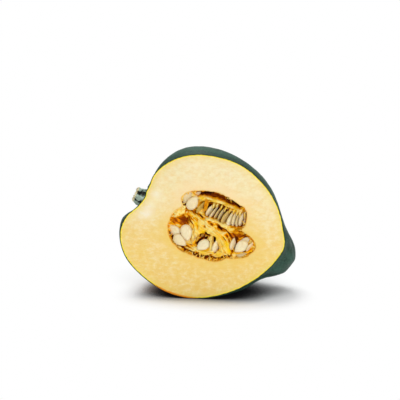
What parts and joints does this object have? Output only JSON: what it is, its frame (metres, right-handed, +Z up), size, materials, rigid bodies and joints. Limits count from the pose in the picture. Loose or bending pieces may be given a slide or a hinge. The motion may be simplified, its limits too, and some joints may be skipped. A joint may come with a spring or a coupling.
{
  "type": "acorn squash half",
  "caption": "Half of a ribbed green acorn squash, cut lengthwise, with pale yellow flesh, stringy pulp, loose seeds and its stem; rests on its skin.",
  "frame": {"origin": "centre of the bounding box at the surface it rests on", "axes": "+X along the cut face from the stem side to the blossom end, +Z up, -Y out of the cut face, which leans back 4 degrees"},
  "size_m": [0.1554, 0.0836, 0.1315],
  "materials": {
    "squash": "pale yellow flesh with a fine moist grain inside, dark green ribbed skin outside",
    "stem": "grey-green corky ridges with a tan broken end",
    "pulp": "wet stringy yellow-orange pulp",
    "seed": "smooth cream seed coat with a raised rim"
  },
  "bodies": {
    "root": {"squash_half": "squash", "stem": "stem", "pulp": "pulp", "seed_01": "seed", "seed_02": "seed", "seed_03": "seed", "seed_04": "seed", "seed_05": "seed", "seed_06": "seed", "seed_07": "seed", "seed_08": "seed", "seed_09": "seed", "seed_10": "seed", "seed_11": "seed", "seed_12": "seed", "seed_13": "seed", "seed_14": "seed", "seed_15": "seed", "seed_16": "seed", "seed_17": "seed", "seed_18": "seed", "seed_19": "seed", "seed_20": "seed", "seed_21": "seed", "seed_22": "seed", "seed_23": "seed", "seed_24": "seed", "seed_25": "seed", "seed_26": "seed", "seed_27": "seed", "seed_28": "seed"}
  },
  "joints": []
}
